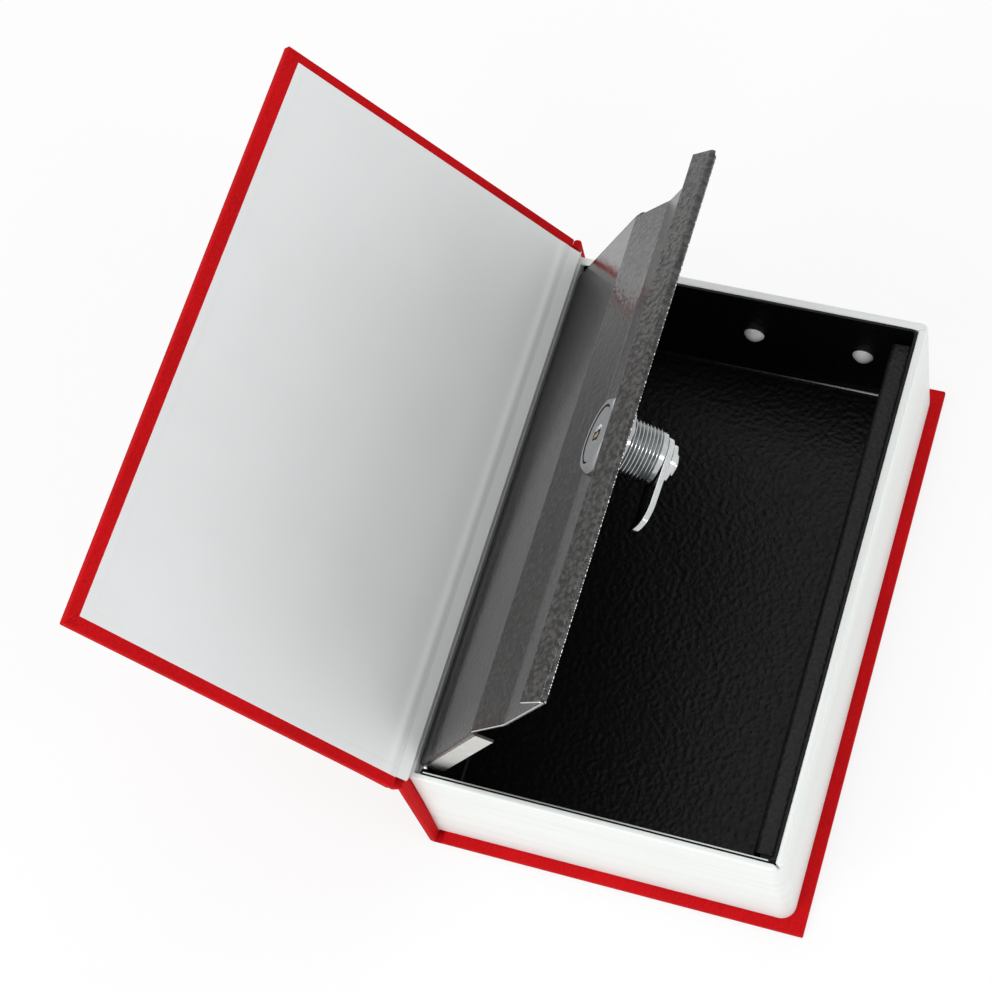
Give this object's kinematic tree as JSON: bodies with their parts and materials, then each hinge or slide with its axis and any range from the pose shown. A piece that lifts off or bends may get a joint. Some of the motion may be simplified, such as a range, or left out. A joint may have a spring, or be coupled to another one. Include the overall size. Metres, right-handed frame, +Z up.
{
  "type": "book diversion safe",
  "caption": "Steel box with hinged lid and cam lock, hidden in a moulded page block inside a red cloth hardcover book case",
  "frame": {"origin": "centre of the back cover's underside, on which the safe lies", "axes": "+X from the spine to the fore-edge, +Y from the tail of the book to its head, +Z up out of the box"},
  "size_m": [0.1894, 0.1821, 0.1418],
  "materials": {
    "board": "grey pressed board, hidden by the cloth",
    "cloth": "red book cloth, fine weave, faint sheen",
    "endpaper": "smooth pale grey-white paper",
    "page_block": "white moulded plastic with fine page lines",
    "rivet": "white domed plastic",
    "box_steel": "black textured powder coat",
    "pin_steel": "plain drawn steel",
    "lid_steel": "dark hammered powder coat, glossy",
    "lock_chrome": "bright nickel-chrome plate",
    "key_brass": "machined brass",
    "cam_steel": "bright zinc-plated steel"
  },
  "bodies": {
    "case": {"back_board": "board", "spine_board": "board", "case_cloth": "cloth", "spine_liner": "endpaper", "joint_cloth": "cloth", "joint_paper": "endpaper", "page_block": "page_block", "block_rivet_1": "rivet", "block_rivet_2": "rivet", "block_rivet_3": "rivet", "block_rivet_4": "rivet", "block_rivet_5": "rivet", "block_rivet_6": "rivet", "steel_tray": "box_steel", "strike_ledge": "box_steel", "tray_hinge_leaf": "box_steel", "hinge_pin": "pin_steel"},
    "front_cover": {"front_board": "board", "front_cloth": "cloth", "front_endpaper": "endpaper"},
    "lid": {"lid_panel": "lid_steel", "lid_hinge_leaf": "box_steel", "lock_housing": "lock_chrome", "lock_nut": "lock_chrome"},
    "lock_core": {"lock_plug": "lock_chrome", "key_core": "key_brass", "cam": "cam_steel", "cam_washer": "cam_steel", "cam_screw": "cam_steel"}
  },
  "joints": [
    {"name": "cover_hinge", "type": "hinge", "parent": "case", "child": "front_cover", "pos_m": [-0.0559, 0, 0.0564], "axis": [0, -1, 0], "range_deg": [-132.3, 47.7], "deforming": ["joint_cloth", "joint_paper"]},
    {"name": "lid_hinge", "type": "hinge", "parent": "case", "child": "lid", "pos_m": [-0.0513, 0, 0.0503], "axis": [0, -1, 0], "range_deg": [-62.7, 22.7]},
    {"name": "lock_turn", "type": "hinge", "parent": "lid", "child": "lock_core", "pos_m": [-0.0152, 0, 0.12023], "axis": [-0.8886, 0, 0.4587], "range_deg": [0, 90]}
  ],
  "couplings": [
    {"joint": "lid_hinge", "follows": "cover_hinge", "ratio": 0.4739}
  ]
}
